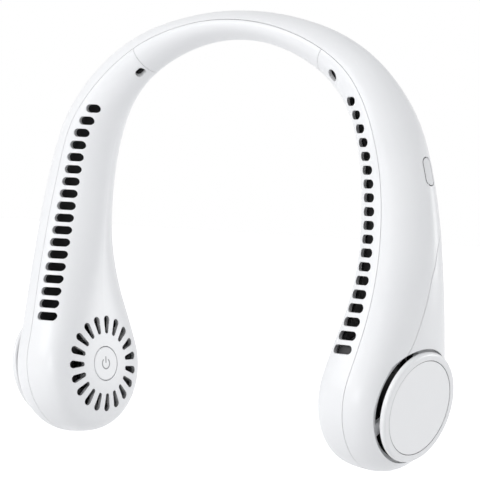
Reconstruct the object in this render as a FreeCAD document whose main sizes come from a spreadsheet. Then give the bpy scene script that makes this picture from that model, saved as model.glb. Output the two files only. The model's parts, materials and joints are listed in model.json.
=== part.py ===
import FreeCAD, Part
import math
import os
import Sketcher
from FreeCAD import Placement, Rotation, Vector

# Neck fan: a U-shaped band that hangs round the neck and swells into two fan drums.
# Millimetres. X runs from the left arm to the right arm, -Y is the front, +Z is up.
# The origin is the inside of the band's crown, where it rests on the neck.

doc = FreeCAD.newDocument("neck_fan")
sheet = doc.addObject("Spreadsheet::Sheet", "Sizes")

sizes = {
    # Path of the band: four tangent arcs from the crown to the axis of a drum
    "neck_radius": 112.15,
    "neck_turn": 25.58,
    "shoulder_radius": 66.54,
    "shoulder_turn": 51.3,
    "arm_radius": 193.3,
    "arm_turn": 21.58,
    "drum_bend_radius": 409.0,
    "drum_bend_turn": 3.08,
    # Section of the band
    "neck_half_depth": 9.56,
    "arm_half_depth": 13.74,
    "drum_radius": 29.72,
    "drop_radius": 307.1,
    "neck_half_height": 6.16,
    "drum_half_height": 17.76,
    "wall": 1.6,
    # Parting between the outer shell and the inner pieces, measured out from the path
    "neck_parting": 1.68,
    "arm_parting": 1.6,
    "seam_gap": 0.15,
    # Where the cover inside the neck ends, along the path
    "cover_path": 52.5,
    # Fine seam line over the outer face of each arm, from the back edge to the dish
    "line_width": 0.25,
    "line_depth": 0.3,
    # Air slots along both edges of each arm
    "slot_height": 3.6,
    "slot_length_top": 6.0,
    "slot_length_bottom": 10.0,
    "slot_offset": 6.0,
    "left_slot_pitch": 5.374,
    "right_slot_pitch": 5.487,
    "left_slot_depth": 122.2,
    "right_slot_depth": 124.3,
    "left_slot_count": 18,
    "right_slot_count": 19,
    # Oval vents beside the neck cover
    "vent_length": 5.0,
    "vent_width": 3.0,
    "vent_spacing": 9.5,
    "vent_from_seam": 4.3,
    # Intake grille round the button
    "grille_count": 19,
    "grille_inner_radius": 13.2,
    "grille_outer_radius": 21.1,
    "grille_root_radius": 0.95,
    "grille_tip_radius": 1.7,
    # Dished intake on the outer face of a drum
    "floor_level": 12.35,
    "floor_thickness": 1.6,
    "dish_radius": 23.8,
    "dish_depth": 0.75,
    "intake_inner_radius": 11.5,
    "intake_outer_radius": 19.7,
    "spoke_width": 5.6,
    "spoke_turn": 28.0,
    # Raised disc over the intake
    "disc_tilt": 6.0,
    "disc_pivot_level": 9.0,
    "disc_gap": 2.75,
    "disc_radius": 22.8,
    "disc_web": 1.2,
    "disc_rim_height": 2.9,
    "disc_round": 1.3,
    "plate_radius": 19.5,
    "plate_thickness": 1.6,
    "plate_round": 0.3,
    "leg_circle": 17.4,
    "leg_radius": 1.9,
    # Power button in the left grille
    "button_radius": 7.33,
    "button_gap": 0.3,
    "button_flange": 1.0,
    "button_flange_thickness": 0.6,
    "button_flange_gap": 0.3,
    "button_round": 0.4,
    "button_travel": 0.5,
    # Board and switch behind the button
    "board_level": -11.9,
    "board_thickness": 1.0,
    "board_radius": 12.0,
    "board_post_circle": 10.4,
    "board_post_radius": 1.3,
    "switch_side": 4.5,
    "switch_height": 0.8,
    "plunger_radius": 1.0,
    "press_gap": 0.1,
    # Motor bracket
    "bracket_level": -9.6,
    "bracket_thickness": 1.6,
    "bracket_hub_radius": 8.0,
    "bracket_arm_width": 5.0,
    "boss_circle": 23.2,
    "boss_radius": 2.1,
    "tube_radius": 3.2,
    "tube_length": 10.0,
    # Motor
    "bearing_radius": 2.0,
    "bearing_length": 2.5,
    "fit_gap": 0.02,
    "shaft_radius": 0.75,
    "shaft_clearance": 0.03,
    "shaft_length": 13.0,
    "thrust_gap": 0.2,
    "core_radius": 7.6,
    "core_height": 5.0,
    "core_level": -6.4,
    "tooth_count": 9,
    "tooth_width": 1.5,
    "tooth_tip_depth": 0.8,
    "yoke_radius": 4.6,
    "coil_thickness": 0.55,
    "magnet_gap": 0.4,
    "magnet_thickness": 1.2,
    "magnet_height": 6.2,
    "cup_level": -7.1,
    "cup_wall": 0.8,
    "cup_height": 10.3,
    "cup_boss_radius": 2.0,
    "cup_boss_height": 1.8,
    # Impeller
    "impeller_level": -6.4,
    "impeller_height": 14.0,
    "impeller_radius": 22.6,
    "hub_wall": 1.0,
    "hub_top": 1.2,
    "carrier_level": 7.4,
    "carrier_thickness": 1.0,
    "blade_count": 21,
    "blade_inner_radius": 14.5,
    "blade_thickness": 0.9,
    "blade_lean": 24.0,
    "cage_ring_width": 1.8,
    "cage_ring_height": 1.0,
    # Screws
    "screw_radius": 0.8,
    "screw_length": 3.2,
    "screw_head_radius": 1.5,
    "screw_head_height": 0.8,
    # Air duct inside each arm
    "duct_gap": 0.6,
    "duct_wall": 1.0,
    "duct_roof": 1.6,
    "duct_window_margin": 0.3,
    "duct_end_gap": 1.2,
    "duct_mouth_above_axis": 16.0,
    "duct_fan_gap": 1.0,
    # Battery cell on each duct
    "cell_length": 44.0,
    "cell_width": 16.0,
    "cell_height": 8.0,
    "cell_round": 2.0,
    "cell_seat_gap": 0.1,
    "cell_path": 150.0,
    # Charging socket and its flap, on the right arm
    "port_path": 115.5,
    "port_length": 12.0,
    "port_width": 5.2,
    "flap_gap": 0.4,
    "flap_thickness": 1.3,
    "socket_length": 8.94,
    "socket_width": 3.26,
    "socket_depth": 6.2,
    "socket_wall": 0.35,
    "socket_tongue": 0.7,
    "charge_board_length": 17.0,
    "charge_board_width": 13.0,
    "charge_board_thickness": 1.0,
    "charge_post_radius": 1.2,
    "charge_post_edge": 1.8,
    # Wiring loom over the neck
    "loom_radius": 1.0,
    "loom_offset": 3.2,
    # One overrun serves all cuts
    "overrun": 8.0,
}
for row, (alias, value) in enumerate(sizes.items(), 1):
    sheet.set(f"A{row}", alias)
    sheet.set(f"B{row}", str(value))
    sheet.setAlias(f"B{row}", alias)
doc.recompute()


def size(alias):
    return float(sheet.get(alias))


# Where along the path each blend runs, as shares of the path from crown to drum axis
station_shares = (0, 0.08, 0.16, 0.24, 0.32, 0.4, 0.48, 0.56, 0.64, 0.72, 0.79, 0.85, 0.9, 0.94, 0.97, 1)
depth_start_share = 0.31
height_end_share = 0.767
square_start_share = 0.65
parting_end_share = 0.5
past_axis_share = 0.03
# Seam line: how far along the path each point lies, and how far back across the face
line_shares = (
    (0.57, 0.93),
    (0.63, 0.68),
    (0.674, 0.342),
    (0.699, 0.079),
    (0.728, -0.026),
    (0.76, -0.137),
    (0.799, -0.21),
    (0.831, -0.296),
    (0.862, -0.37),
    (0.899, -0.512),
    (0.914, -0.599),
)
# Bezier handles of a section quarter: over the face, then down the side
arm_handle_shares = (0.44, 0.447)
drum_inner_handle_shares = (0.96, 0.74)
drum_outer_handle_shares = (0.8, 0.608)

sides = {"left": -1, "right": 1}
front = Vector(0, -1, 0)
depth_axis = Vector(0, 1, 0)
width_axis = Vector(1, 0, 0)
drum_axis = Vector(0, 0, 1)
origin = Vector(0, 0, 0)

# Path of the band

neck_arc = size("neck_radius") * math.radians(size("neck_turn"))
shoulder_arc = size("shoulder_radius") * math.radians(size("shoulder_turn"))
arm_arc = size("arm_radius") * math.radians(size("arm_turn"))
drum_arc = size("drum_bend_radius") * math.radians(size("drum_bend_turn"))
path_length = neck_arc + shoulder_arc + arm_arc + drum_arc
crown_height = size("neck_half_height")
path_arcs = (
    (neck_arc, size("neck_radius")),
    (shoulder_arc, size("shoulder_radius")),
    (arm_arc, size("arm_radius")),
    (drum_arc, -size("drum_bend_radius")),
)


def path_frame(length):
    """Point on the right half of the path, its direction and the outward normal."""
    x, z, turn = 0, crown_height, 0
    left_over = length
    for arc, radius in path_arcs:
        run = min(left_over, arc)
        end_turn = turn + run / radius
        x += radius * (math.sin(end_turn) - math.sin(turn))
        z += radius * (math.cos(end_turn) - math.cos(turn))
        turn = end_turn
        left_over -= run
    along = Vector(math.cos(turn), 0, -math.sin(turn))
    outward = Vector(math.sin(turn), 0, math.cos(turn))
    return Vector(x, 0, z) + along * left_over, along, outward


def ease(share, start, end):
    step = min(max((share - start) / (end - start), 0), 1)
    return (1 - math.cos(math.pi * step)) / 2


def half_depth(length):
    """Half depth of the band: neck, arm, then the drop that widens into the drum's circle."""
    drum, arm, drop = size("drum_radius"), size("arm_half_depth"), size("drop_radius")
    drop_run = math.sqrt((drum + drop) ** 2 - (arm + drop) ** 2)
    circle_run = drop_run * drum / (drum + drop)
    to_axis = abs(path_length - length)
    if to_axis < circle_run:
        return math.sqrt(drum**2 - to_axis**2)
    if to_axis < drop_run:
        return arm + drop - math.sqrt(drop**2 - (drop_run - to_axis) ** 2)
    grown = ease(length / path_length, depth_start_share, 1 - drop_run / path_length)
    return size("neck_half_depth") + (arm - size("neck_half_depth")) * grown


def half_height(length):
    grown = ease(length / path_length, 0, height_end_share)
    return size("neck_half_height") + (size("drum_half_height") - size("neck_half_height")) * grown


def handles(length, drum_handles):
    grown = ease(length / path_length, square_start_share, 1)
    return [arm + (drum - arm) * grown for arm, drum in zip(arm_handle_shares, drum_handles)]


def curve(points):
    bezier = Part.BezierCurve()
    bezier.setPoles(points)
    return bezier.toShape()


def mirrored(vector, side):
    return Vector(vector.x * side, vector.y, vector.z)


def section(length, side, inset):
    """Closed section of the band across its path, drawn in by an inset."""
    centre, along, outward = path_frame(length)
    centre, outward = mirrored(centre, side), mirrored(outward, side)
    deep = depth_axis * (half_depth(length) - inset)
    tall = outward * (half_height(length) - inset)
    outer_face, outer_flank = handles(length, drum_outer_handle_shares)
    inner_face, inner_flank = handles(length, drum_inner_handle_shares)
    edges = []
    for first, second, first_handle, second_handle in (
        (tall, deep, outer_face, outer_flank),
        (deep, -tall, inner_flank, inner_face),
        (-tall, -deep, inner_face, inner_flank),
        (-deep, tall, outer_flank, outer_face),
    ):
        poles = [first, first + second * first_handle, second + first * second_handle, second]
        edges.append(curve([centre + pole for pole in poles]))
    return Part.Wire(edges)


# Frames of the two drums: local Z points out of the drum's outer face, local X down

drum_centre, drum_down, drum_out = path_frame(path_length)
drum_places = {}
for side_name, side in sides.items():
    down, out = mirrored(drum_down, side), mirrored(drum_out, side)
    turn = Rotation(down, out.cross(down), out, "ZXY")
    drum_places[side_name] = Placement(mirrored(drum_centre, side), turn)
# The raised disc and its dish face a little further down than the drum
disc_pivot = drum_axis * size("disc_pivot_level")
disc_turn = Placement(origin, Rotation(depth_axis, size("disc_tilt")), disc_pivot)
disc_places = {side_name: place.multiply(disc_turn) for side_name, place in drum_places.items()}


def drum_half(inset):
    """Rounded lower half of a drum, in the drum's own frame."""
    reach = size("drum_radius") - inset
    tall = size("drum_half_height") - inset
    outer_face, outer_flank = handles(path_length, drum_outer_handle_shares)
    inner_face, inner_flank = handles(path_length, drum_inner_handle_shares)
    rim, cap = front * reach, drum_axis * tall
    upper = curve([cap, cap + rim * outer_face, rim + cap * outer_flank, rim])
    lower = curve([rim, rim - cap * inner_flank, rim * inner_face - cap, -cap])
    profile = Part.Face(Part.Wire([upper, lower, Part.makeLine(-cap, cap)]))
    return profile.revolve(origin, drum_axis, 180)


def slab(length, width, height, centre):
    """Box centred in its own X and Y, standing on a level."""
    corner = Vector(-length / 2, -width / 2, 0) + centre
    return Part.makeBox(length, width, height, corner)


def placed(shape, place):
    moved = shape.copy()
    moved.Placement = place.multiply(moved.Placement)
    return moved


def band(inset):
    """The whole band as one solid: a loft over the neck and two rounded drum ends."""
    lengths = [share * path_length for share in station_shares]
    past = [path_length * (1 + past_axis_share * step) for step in (1, 2)]
    right = [section(length, 1, inset) for length in lengths + past]
    left = [section(length, -1, inset) for length in reversed(lengths[1:] + past)]
    loft = Part.makeLoft(left + right, True, False)
    reach = size("drum_radius") + size("overrun")
    beyond = slab(reach, 2 * reach, 2 * reach, Vector(reach / 2, 0, -reach))
    for place in drum_places.values():
        loft = loft.cut(placed(beyond, place))
    ends = [placed(drum_half(inset), place) for place in drum_places.values()]
    return loft.multiFuse(ends).Solids[0]


def inside(offset):
    """Everything on the inner side of a line that follows the path at an offset."""
    reach = size("drum_radius") + size("overrun")
    points = []
    for share in station_shares:
        centre, along, outward = path_frame(share * path_length)
        points.append(centre + outward * offset(share * path_length))
    right_end = points[-1] + drum_down * reach
    left_points = [mirrored(point, -1) for point in reversed(points[1:])]
    line = Part.BSplineCurve()
    line.interpolate(
        Points=left_points + points,
        InitialTangent=mirrored(-drum_down, -1),
        FinalTangent=drum_down,
    )
    left_end = mirrored(right_end, -1)
    edges = [
        Part.makeLine(left_end, left_points[0]),
        line.toShape(),
        Part.makeLine(points[-1], right_end),
        Part.makeLine(right_end, left_end),
    ]
    face = Part.Face(Part.Wire(edges))
    face.translate(front * reach)
    return face.extrude(depth_axis * 2 * reach)


def parting(length):
    grown = ease(length / path_length, 0, parting_end_share)
    return size("neck_parting") + (size("arm_parting") - size("neck_parting")) * grown


def outer_parting(length):
    return parting(length) + size("seam_gap")


def stadium(length, width):
    """Flat rounded bar in its own XY plane, long in X."""
    radius = width / 2
    half = length / 2 - radius
    reach, rise = width_axis * half, depth_axis * radius
    outline = [
        Part.makeLine(rise - reach, rise + reach),
        Part.Arc(rise + reach, width_axis * (length / 2), reach - rise).toShape(),
        Part.makeLine(reach - rise, -reach - rise),
        Part.Arc(-reach - rise, -width_axis * (length / 2), rise - reach).toShape(),
    ]
    return Part.Face(Part.Wire(outline))


# Air openings of an arm

def length_at_height(height, offset_of):
    """Path length at which the offset line of the right arm passes a height."""
    low, high = 0, path_length
    while high - low > size("fit_gap"):
        middle = (low + high) / 2
        centre, along, outward = path_frame(middle)
        if (centre - outward * offset_of(middle)).z > height:
            low = middle
        else:
            high = middle
    return (low + high) / 2


def slot_row_offset(length):
    return size("slot_offset") * half_height(length) / size("drum_half_height")


def slots(side_name, margin):
    """Through slots of one arm, long in X, evenly spaced in height."""
    side, count = sides[side_name], int(size(side_name + "_slot_count"))
    reach = size("drum_radius")
    bars = []
    for index in range(count):
        height = index * size(side_name + "_slot_pitch") - size(side_name + "_slot_depth")
        length = length_at_height(height, slot_row_offset)
        centre, along, outward = path_frame(length)
        middle = centre - outward * slot_row_offset(length)
        grown = index / (count - 1)
        bar = size("slot_length_bottom") + (size("slot_length_top") - size("slot_length_bottom")) * grown
        face = stadium(bar + 2 * margin, size("slot_height") + 2 * margin)
        face.Placement = Placement(mirrored(middle, side) + front * reach, Rotation(width_axis, -90))
        bars.append(face.extrude(depth_axis * 2 * reach))
    return bars


def vents(side_name, margin):
    """Two oval vents on the inner face, just past the neck cover."""
    length = size("cover_path") + size("vent_from_seam")
    centre, along, outward = path_frame(length)
    side = sides[side_name]
    centre, along, outward = mirrored(centre, side), mirrored(along, side), mirrored(outward, side)
    ovals = []
    for step in (-1, 1):
        face = stadium(size("vent_length") + 2 * margin, size("vent_width") + 2 * margin)
        across = depth_axis * step * size("vent_spacing") / 2
        face.Placement = Placement(centre + across, Rotation(along, outward.cross(along), outward, "ZXY"))
        ovals.append(face.extrude(-outward * size("drum_half_height")))
    return ovals


def grille(first):
    """Ring of teardrop slots through the inner face of a drum, in the drum's frame."""
    root, tip = size("grille_root_radius"), size("grille_tip_radius")
    near = size("grille_inner_radius") + root
    far = size("grille_outer_radius") - tip
    spread = math.asin((tip - root) / (far - near))
    lean = Vector(-math.sin(spread), math.cos(spread), 0)
    counter = Vector(lean.x, -lean.y, 0)
    near_point, far_point = width_axis * near, width_axis * far
    tip_arc = Part.Arc(far_point + lean * tip, far_point + width_axis * tip, far_point + counter * tip)
    root_arc = Part.Arc(near_point + counter * root, near_point - width_axis * root, near_point + lean * root)
    outline = [
        Part.makeLine(near_point + lean * root, far_point + lean * tip),
        tip_arc.toShape(),
        Part.makeLine(far_point + counter * tip, near_point + counter * root),
        root_arc.toShape(),
    ]
    face = Part.Face(Part.Wire(outline))
    face.translate(-drum_axis * (size("drum_half_height") + size("overrun")))
    drop = face.extrude(drum_axis * (size("overrun") + size("drum_half_height") / 2))
    count = int(size("grille_count"))
    drops = []
    for index in range(count):
        turned = drop.copy()
        turned.rotate(origin, drum_axis, first + 360 * index / count)
        drops.append(turned)
    return drops


def peg(radius, low, high, circle, angle):
    """Upright cylinder on a circle round the drum's axis."""
    foot = Vector(circle * math.cos(math.radians(angle)), circle * math.sin(math.radians(angle)), low)
    return Part.makeCylinder(radius, high - low, foot)


def three_angles(first):
    return [first + 360 * index / 3 for index in range(3)]


# Angle of the front in each drum's frame; a grille slot points there
front_angles = {"left": 90, "right": -90}
# Legs of a disc stand on the spokes of the intake; one spoke lies a little below the front
spoke_angles = {
    side_name: three_angles(front_angles[side_name] + side * size("spoke_turn"))
    for side_name, side in sides.items()
}
bracket_angles = three_angles(0)
board_angles = three_angles(60)

pieces = []


def keep(label, shape):
    """A piece whose form comes from lofts or patterned cuts."""
    piece = doc.addObject("Part::Feature", label)
    piece.Label = label
    piece.Shape = shape
    pieces.append(piece)
    return piece


# Shells

full_band = band(0)
hollow_band = full_band.cut(band(size("wall")))
outer_region = inside(outer_parting)
inner_region = inside(parting)


def intake_cut(side_name):
    """Dish, sectors and screw holes of one drum's outer face."""
    floor, base = size("floor_level"), size("floor_level") - size("floor_thickness")
    above = size("drum_half_height") + size("overrun")
    flat, edge = size("intake_outer_radius"), size("dish_radius")
    slope = Part.makeCone(flat, edge, size("dish_depth"), drum_axis * floor)
    rim = Part.makeCylinder(edge, above, drum_axis * (floor + size("dish_depth")))
    dish = slope.fuse(rim)
    ring_height = size("floor_thickness") + 2 * size("overrun")
    ring_foot = drum_axis * (base - size("overrun"))
    ring = Part.makeCylinder(size("intake_outer_radius"), ring_height, ring_foot)
    ring = ring.cut(Part.makeCylinder(size("intake_inner_radius"), ring_height, ring_foot))
    spoke_length = size("intake_outer_radius") + size("overrun")
    for angle in spoke_angles[side_name]:
        spoke_foot = ring_foot + width_axis * spoke_length / 2
        spoke = slab(spoke_length, size("spoke_width"), ring_height, spoke_foot)
        spoke.rotate(origin, drum_axis, angle)
        ring = ring.cut(spoke)
    tools = [dish, ring]
    for angle in spoke_angles[side_name]:
        radius = size("screw_radius") + size("fit_gap")
        tools.append(peg(radius, base - size("overrun"), above, size("leg_circle"), angle))
    return [placed(tool, disc_places[side_name]) for tool in tools]


def intake_floor(side_name):
    """Floor and side wall of the dish before it is cut, kept inside the band."""
    foot = drum_axis * (size("floor_level") - size("floor_thickness"))
    radius = size("dish_radius") + size("wall")
    block = Part.makeCylinder(radius, size("drum_half_height"), foot)
    return placed(block, disc_places[side_name]).common(full_band)


def seam_line(side):
    """Thin blade through the outer face of one arm, along the seam line."""
    across = depth_axis * (size("line_width") / 2)
    points = []
    for along_share, back_share in line_shares:
        length = along_share * path_length
        centre, along, outward = path_frame(length)
        rise = outward * half_height(length) * math.sqrt(1 - back_share**2)
        points.append(mirrored(centre + rise + depth_axis * half_depth(length) * back_share, side))
    edges = []
    for shift in (across, -across):
        line = Part.BSplineCurve()
        line.interpolate([point + shift for point in points])
        edges.append(line.toShape())
    blade = Part.makeRuledSurface(edges[0], edges[1])
    reach = (mirrored(drum_out, side) + depth_axis).normalize() * size("drum_half_height") / 2
    blade.translate(-reach)
    return blade.extrude(reach * 2)


def port_place():
    """Frame on the path under the charging socket: X along the arm, Z outward."""
    centre, along, outward = path_frame(size("port_path"))
    return Placement(centre, Rotation(along, outward.cross(along), outward, "ZXY"))


def port_bar(gap):
    bar = stadium(size("port_length") - 2 * gap, size("port_width") - 2 * gap)
    bar.Placement = port_place()
    return bar.extrude(port_place().Rotation.multVec(drum_axis) * 2 * size("drum_half_height"))


def in_port(shape):
    return placed(shape, port_place())


socket_top = half_height(size("port_path")) - size("wall") - size("flap_gap")
socket_low = socket_top - size("socket_depth")


def charge_posts():
    """Posts under the outer wall that hold the charging board."""
    across = size("charge_board_length") / 2 - size("charge_post_edge")
    deep = size("charge_board_width") / 2 - size("charge_post_edge")
    radius, height = size("charge_post_radius"), size("drum_half_height")
    posts = []
    for x, y in ((-across, -deep), (-across, deep), (across, -deep), (across, deep)):
        post = Part.makeCylinder(radius, height, Vector(x, y, socket_low))
        posts.append(in_port(post).common(full_band))
    return posts


outer_shell = hollow_band.cut(outer_region)
outer_shell = outer_shell.fuse([intake_floor(side_name) for side_name in sides] + charge_posts())
outer_shell = outer_shell.cut([tool for side_name in sides for tool in intake_cut(side_name)])
line_skin = full_band.cut(band(size("line_depth")))
outer_shell = outer_shell.cut([port_bar(0)] + [seam_line(side).common(line_skin) for side in sides.values()])
keep("outer_shell", outer_shell)


def neck_wedge(gap):
    """Room round the neck, up to the planes where its cover ends."""
    centre, along, outward = path_frame(size("cover_path"))
    end = centre + along * gap
    reach = size("shoulder_radius")
    corners = [end - outward * reach, end + outward * reach]
    corners += [mirrored(corner, -1) for corner in reversed(corners)]
    face = Part.Face(Part.makePolygon(corners + corners[:1]))
    face.translate(front * reach)
    return face.extrude(depth_axis * 2 * reach)


inner_wall = hollow_band.common(inner_region)
keep("neck_inner_cover", inner_wall.common(neck_wedge(0)))
arm_walls = inner_wall.cut(neck_wedge(size("seam_gap"))).Solids
arm_walls.sort(key=lambda solid: solid.CenterOfMass.x)
arm_wall = {"left": arm_walls[0], "right": arm_walls[-1]}


def wall_pegs(side_name):
    """Bosses under the bracket, and on the left the posts under the board."""
    deep = -size("drum_half_height")
    circle, radius = size("boss_circle"), size("boss_radius")
    pegs = [peg(radius, deep, size("bracket_level"), circle, angle) for angle in bracket_angles]
    if side_name == "left":
        circle, radius = size("board_post_circle"), size("board_post_radius")
        pegs += [peg(radius, deep, size("board_level"), circle, angle) for angle in board_angles]
    return [placed(item, drum_places[side_name]).common(full_band) for item in pegs]


def wall_holes(side_name):
    """Pilot holes in the bosses, the grille, and on the left the button's hole."""
    low = size("bracket_level") - size("screw_length")
    radius = size("screw_radius") + size("fit_gap")
    high, circle = size("bracket_level"), size("boss_circle")
    tools = [peg(radius, low, high, circle, angle) for angle in bracket_angles]
    tools += grille(front_angles[side_name])
    if side_name == "left":
        foot = -drum_axis * (size("drum_half_height") + size("overrun"))
        hole = size("button_radius") + size("button_gap")
        tools.append(Part.makeCylinder(hole, size("overrun") + size("drum_half_height") / 2, foot))
    return [placed(tool, drum_places[side_name]) for tool in tools]


for side_name in sides:
    shell = arm_wall[side_name].cut(slots(side_name, 0) + vents(side_name, 0))
    shell = shell.fuse(wall_pegs(side_name))
    keep(side_name + "_inner_shell", shell.cut(wall_holes(side_name)))

# Air ducts, each closed at the neck end and open to its drum

def duct_roof(length):
    return size("duct_roof")


def duct_ceiling(length):
    return size("duct_roof") - size("duct_wall")


def past_plane(length, side):
    """Room past a plane across the path of one arm."""
    centre, along, outward = (mirrored(vector, side) for vector in path_frame(length))
    width = 2 * (size("drum_radius") + size("overrun"))
    room = slab(path_length, width, 2 * path_length, Vector(path_length / 2, 0, -path_length))
    return placed(room, Placement(centre, Rotation(along, outward.cross(along), outward, "ZXY")))


duct_top = size("cover_path") + size("duct_end_gap")
duct_bottom = path_length - size("duct_mouth_above_axis")
duct_inset = size("wall") + size("duct_gap")
duct_skin = band(duct_inset).common(inside(duct_roof))
duct_space = band(duct_inset + size("duct_wall")).common(inside(duct_ceiling))
fan_foot = -drum_axis * size("drum_half_height")
fan_radius = size("impeller_radius") + size("duct_fan_gap")
fan_room = Part.makeCylinder(fan_radius, 2 * size("drum_half_height"), fan_foot)
for side_name, side in sides.items():
    margin = size("duct_window_margin")
    tools = slots(side_name, margin) + vents(side_name, margin)
    tools.append(duct_space.common(past_plane(duct_top + size("duct_wall"), side)))
    tools.append(placed(fan_room, drum_places[side_name]))
    tools.append(past_plane(duct_bottom, side))
    duct = duct_skin.common(past_plane(duct_top, side)).cut(tools)
    keep(side_name + "_air_duct", duct)

# Battery cells on the duct roofs

cell_centre, cell_along, cell_out = path_frame(size("cell_path"))
for side_name, side in sides.items():
    cell = doc.addObject("Part::Box", side_name + "_cell_block")
    cell.setExpression("Length", "Sizes.cell_length")
    cell.setExpression("Width", "Sizes.cell_width")
    cell.setExpression("Height", "Sizes.cell_height")
    cell.setExpression("Placement.Base.x", "-Sizes.cell_length / 2")
    cell.setExpression("Placement.Base.y", "-Sizes.cell_width / 2")
    doc.recompute()
    rounded = doc.addObject("Part::Fillet", side_name + "_battery_cell")
    rounded.Base = cell
    long_edges = [
        index
        for index, edge in enumerate(cell.Shape.Edges, 1)
        if abs(edge.tangentAt(edge.FirstParameter).x) > abs(edge.tangentAt(edge.FirstParameter).y)
    ]
    rounded.Edges = [(index, size("cell_round"), size("cell_round")) for index in long_edges]
    along, out = mirrored(cell_along, side), mirrored(cell_out, side)
    seat = mirrored(cell_centre, side) + out * (size("duct_roof") + size("cell_seat_gap"))
    rounded.Placement = Placement(seat, Rotation(along, out.cross(along), out, "ZXY"))
    rounded.Label = side_name + "_battery_cell"
    pieces.append(rounded)

# Simple turned pieces, bound to the sheet in the drum's own frame

def cylinder(name, radius, low, height):
    item = doc.addObject("Part::Cylinder", name)
    item.setExpression("Radius", radius)
    item.setExpression("Height", height)
    item.setExpression("Placement.Base.z", low)
    return item


def cut(name, base, tool):
    item = doc.addObject("Part::Cut", name)
    item.Base = base
    item.Tool = tool
    return item


def fuse(name, shapes):
    item = doc.addObject("Part::MultiFuse", name)
    item.Shapes = shapes
    return item


def compound(name, links):
    item = doc.addObject("Part::Compound", name)
    item.Links = links
    return item


def tube(name, outer, inner, low, height):
    body = cylinder(name + "_body", outer, low, height)
    bore = cylinder(name + "_bore", inner, low, height)
    return cut(name, body, bore)


def on_circle(item, circle, angle, level):
    """Stands a piece on a circle round the drum's axis, bound to the sheet."""
    item.setExpression("Placement.Base.x", f"({circle}) * cos({angle} deg)")
    item.setExpression("Placement.Base.y", f"({circle}) * sin({angle} deg)")
    item.setExpression("Placement.Base.z", level)
    return item


def seat(item, label, place):
    """Gives a finished piece its name and its place."""
    item.Label = label
    item.Placement = place
    pieces.append(item)


def screw(name, circle, angle, seat_level, pointing):
    """Pan-head screw whose head sits on a level and whose shank points up or down."""
    shank_low = seat_level if pointing > 0 else f"{seat_level} - Sizes.screw_length"
    head_low = f"{seat_level} - Sizes.screw_head_height" if pointing > 0 else seat_level
    shank = cylinder(name + "_shank", "Sizes.screw_radius", shank_low, "Sizes.screw_length")
    head = cylinder(name + "_head", "Sizes.screw_head_radius", head_low, "Sizes.screw_head_height")
    on_circle(shank, circle, angle, shank_low)
    on_circle(head, circle, angle, head_low)
    return fuse(name, [shank, head])


disc_low = "Sizes.floor_level + Sizes.disc_gap"
cup_inner = "Sizes.core_radius + Sizes.magnet_gap + Sizes.magnet_thickness + Sizes.fit_gap"
cup_outer = f"{cup_inner} + Sizes.cup_wall"
hub_inner = f"{cup_outer} + Sizes.fit_gap"
tube_low = "Sizes.bracket_level + Sizes.bracket_thickness"
tube_top = f"{tube_low} + Sizes.tube_length"
shaft_bore = "Sizes.shaft_radius + Sizes.fit_gap"


def disc_ring(side_name):
    """Round-edged cup that carries the plate and stands on three legs."""
    name = side_name + "_disc_ring"
    rim = cylinder(name + "_rim", "Sizes.disc_radius", disc_low, "Sizes.disc_rim_height")
    doc.recompute()
    rounded = doc.addObject("Part::Fillet", name + "_rounded")
    rounded.Base = rim
    rings = [index for index, edge in enumerate(rim.Shape.Edges, 1) if isinstance(edge.Curve, Part.Circle)]
    rounded.Edges = [(index, size("disc_round"), size("disc_round")) for index in rings]
    well = cylinder(
        name + "_well",
        "Sizes.plate_radius + Sizes.seam_gap",
        f"{disc_low} + Sizes.disc_web",
        "Sizes.disc_rim_height",
    )
    cup = cut(name + "_cup", rounded, well)
    legs, pilots = [], []
    for index, angle in enumerate(spoke_angles[side_name]):
        leg = cylinder(f"{name}_leg_{index}", "Sizes.leg_radius", "Sizes.floor_level", "Sizes.disc_gap")
        legs.append(on_circle(leg, "Sizes.leg_circle", angle, "Sizes.floor_level"))
        pilot_radius = "Sizes.screw_radius + Sizes.fit_gap"
        pilot = cylinder(f"{name}_pilot_{index}", pilot_radius, "Sizes.floor_level", "Sizes.screw_length")
        pilots.append(on_circle(pilot, "Sizes.leg_circle", angle, "Sizes.floor_level"))
    whole = fuse(name + "_whole", [cup] + legs)
    drilled = cut(name, whole, fuse(name + "_pilots", pilots))
    seat(drilled, name, disc_places[side_name])


def disc_plate(side_name):
    name = side_name + "_disc_plate"
    plate_low = f"{disc_low} + Sizes.disc_web"
    plate = cylinder(name + "_blank", "Sizes.plate_radius", plate_low, "Sizes.plate_thickness")
    doc.recompute()
    rounded = doc.addObject("Part::Fillet", name)
    rounded.Base = plate
    top = max(plate.Shape.Faces, key=lambda face: face.CenterOfMass.z)
    rings = [index for index, edge in enumerate(plate.Shape.Edges, 1) if edge.isSame(top.Edges[0])]
    rounded.Edges = [(index, size("plate_round"), size("plate_round")) for index in rings]
    seat(rounded, name, disc_places[side_name])


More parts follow.
